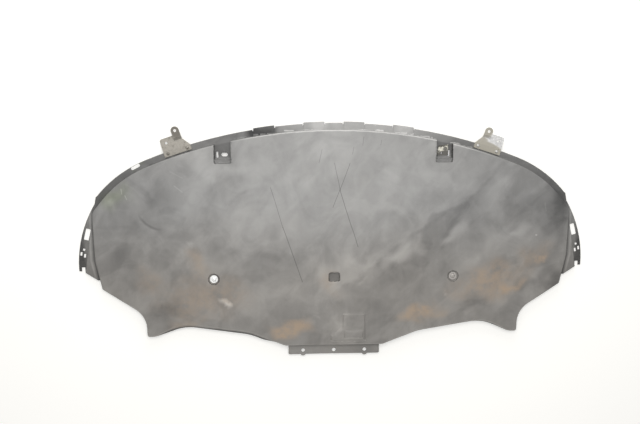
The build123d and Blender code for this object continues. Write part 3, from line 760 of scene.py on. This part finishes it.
bright_fixing = steel("bright_fixing", BRIGHT_STEEL, GREY_STAIN, 0.05, 0.3)
dull_fixing = steel("dull_fixing", DULL_STEEL, GREY_STAIN, 0.25, 0.5)
for piece_name in ("retaining_screw", "retaining_washer"):
    finish_node(piece_name + "_left", bright_fixing, TURNED_EDGE)
    finish_node(piece_name + "_right", dull_fixing, TURNED_EDGE)


# Studio floor
# Matt white board under the cover, which takes its shadow. It is lifted to white further out, and open
# from below, so that the underside can be seen.

FLOOR_WHITE = (0.88, 0.865, 0.82, 1)
FLOOR_ROUGHNESS = 0.9
FLOOR_HALF = 6.0
FLOOR_LIFT = 0.34
FLOOR_LIFT_FAR = 0.80
FLOOR_NEAR = 1.3
FLOOR_FAR = 4.0
FLOOR_Z = -0.0003


def seen_directly(tree):
    """1 on rays from the camera and on mirrored or refracted ones, 0 on what lights the object."""
    rays = shader_node(tree, "LightPath").outputs
    direct = math_node(tree, "MAXIMUM", rays["Is Camera Ray"], rays["Is Glossy Ray"])
    return math_node(tree, "MAXIMUM", direct, rays["Is Transmission Ray"])


def floor_paint():
    """Matt white that the camera and reflections see a little lifted, and that is open from below."""
    material = bpy.data.materials.new("floor_paint")
    material.use_nodes = True
    tree = material.node_tree
    shader = tree.nodes["Principled BSDF"]
    shader.inputs["Base Color"].default_value = FLOOR_WHITE
    shader.inputs["Roughness"].default_value = FLOOR_ROUGHNESS
    shader.inputs["Specular IOR Level"].default_value = 0.0
    shader.inputs["Emission Color"].default_value = (1, 1, 1, 1)
    place = shader_node(tree, "TexCoord").outputs["Object"]
    lift = step_node(tree, length_node(tree, place), FLOOR_NEAR, FLOOR_FAR, FLOOR_LIFT, FLOOR_LIFT_FAR)
    lift = math_node(tree, "MULTIPLY", seen_directly(tree), lift)
    tree.links.new(lift, shader.inputs["Emission Strength"])
    below = shader_node(tree, "NewGeometry").outputs["Backfacing"]
    clear = shader_node(tree, "BsdfTransparent").outputs[0]
    one_sided = shader_node(tree, "MixShader", {0: below, 1: shader.outputs[0], 2: clear}).outputs[0]
    tree.links.new(one_sided, tree.nodes["Material Output"].inputs["Surface"])
    return material


floor_mesh = bpy.data.meshes.new("studio_floor")
corner_signs = ((-1, -1), (1, -1), (1, 1), (-1, 1))
floor_corners = [(FLOOR_HALF * x, FLOOR_HALF * y, FLOOR_Z) for x, y in corner_signs]
floor_mesh.from_pydata(floor_corners, [], [(0, 1, 2, 3)])
floor_mesh.materials.append(floor_paint())
floor = bpy.data.objects.new("studio_floor", floor_mesh)
bpy.context.scene.collection.objects.link(floor)


# Light
# A wide soft lamp above the cover and a weaker one in front of it, in an even white room that looks white
# and lights the cover at a plain level.

# Lamps: name, place, aim, side and power in watts
LAMPS = (
    ("key_lamp", (-0.1, 0.9, 2.3), (0.0, 0.1, 0.0), 1.4, 33.0),
    ("front_lamp", (0.0, 2.2, 0.9), (0.0, 0.2, 0.0), 1.2, 14.0),
)
ROOM_LIGHT = 0.39
ROOM_SEEN = 1.0


def soft_lamp(name, place, aim, size, power):
    """Square area lamp at place, facing aim."""
    lamp = bpy.data.lights.new(name, "AREA")
    lamp.size = size
    lamp.energy = power
    holder = bpy.data.objects.new(name, lamp)
    holder.location = place
    holder.rotation_euler = (Vector(aim) - Vector(place)).to_track_quat("-Z", "Y").to_euler()
    bpy.context.scene.collection.objects.link(holder)


for lamp_values in LAMPS:
    soft_lamp(*lamp_values)
world = bpy.data.worlds.new("white_room")
world.use_nodes = True
room = world.node_tree
background = room.nodes["Background"].inputs
background["Color"].default_value = (1, 1, 1, 1)
room_strength = step_node(room, seen_directly(room), 0.0, 1.0, ROOM_LIGHT, ROOM_SEEN)
room.links.new(room_strength, background["Strength"])
bpy.context.scene.world = world


# Camera
# High above the cover and a little in front of it, with the cover's front edge at the top of the picture,
# at the photograph's viewing angle.

PICTURE_WIDTH = 640
SENSOR_WIDTH = 36.0
FOCAL_PIXELS = 670
EYE = Vector((-0.1268, 0.4341, 2.0256))
AIM = Vector((-0.0426, 0.0941, 0.0200))
ROLL = radians(-0.186)

lens = bpy.data.cameras.new("camera")
lens.sensor_width = SENSOR_WIDTH
lens.lens = SENSOR_WIDTH * FOCAL_PIXELS / PICTURE_WIDTH
camera = bpy.data.objects.new("camera", lens)
back = (EYE - AIM).normalized()
across = Vector((0, 1, 0)).cross(back).normalized()
upwards = back.cross(across)
turn = Matrix((across, upwards, back)).transposed() @ Matrix.Rotation(ROLL, 3, "Z")
camera.matrix_world = Matrix.Translation(EYE) @ turn.to_4x4()
bpy.context.scene.collection.objects.link(camera)
bpy.context.scene.camera = camera
bpy.context.scene.view_settings.view_transform = "Standard"
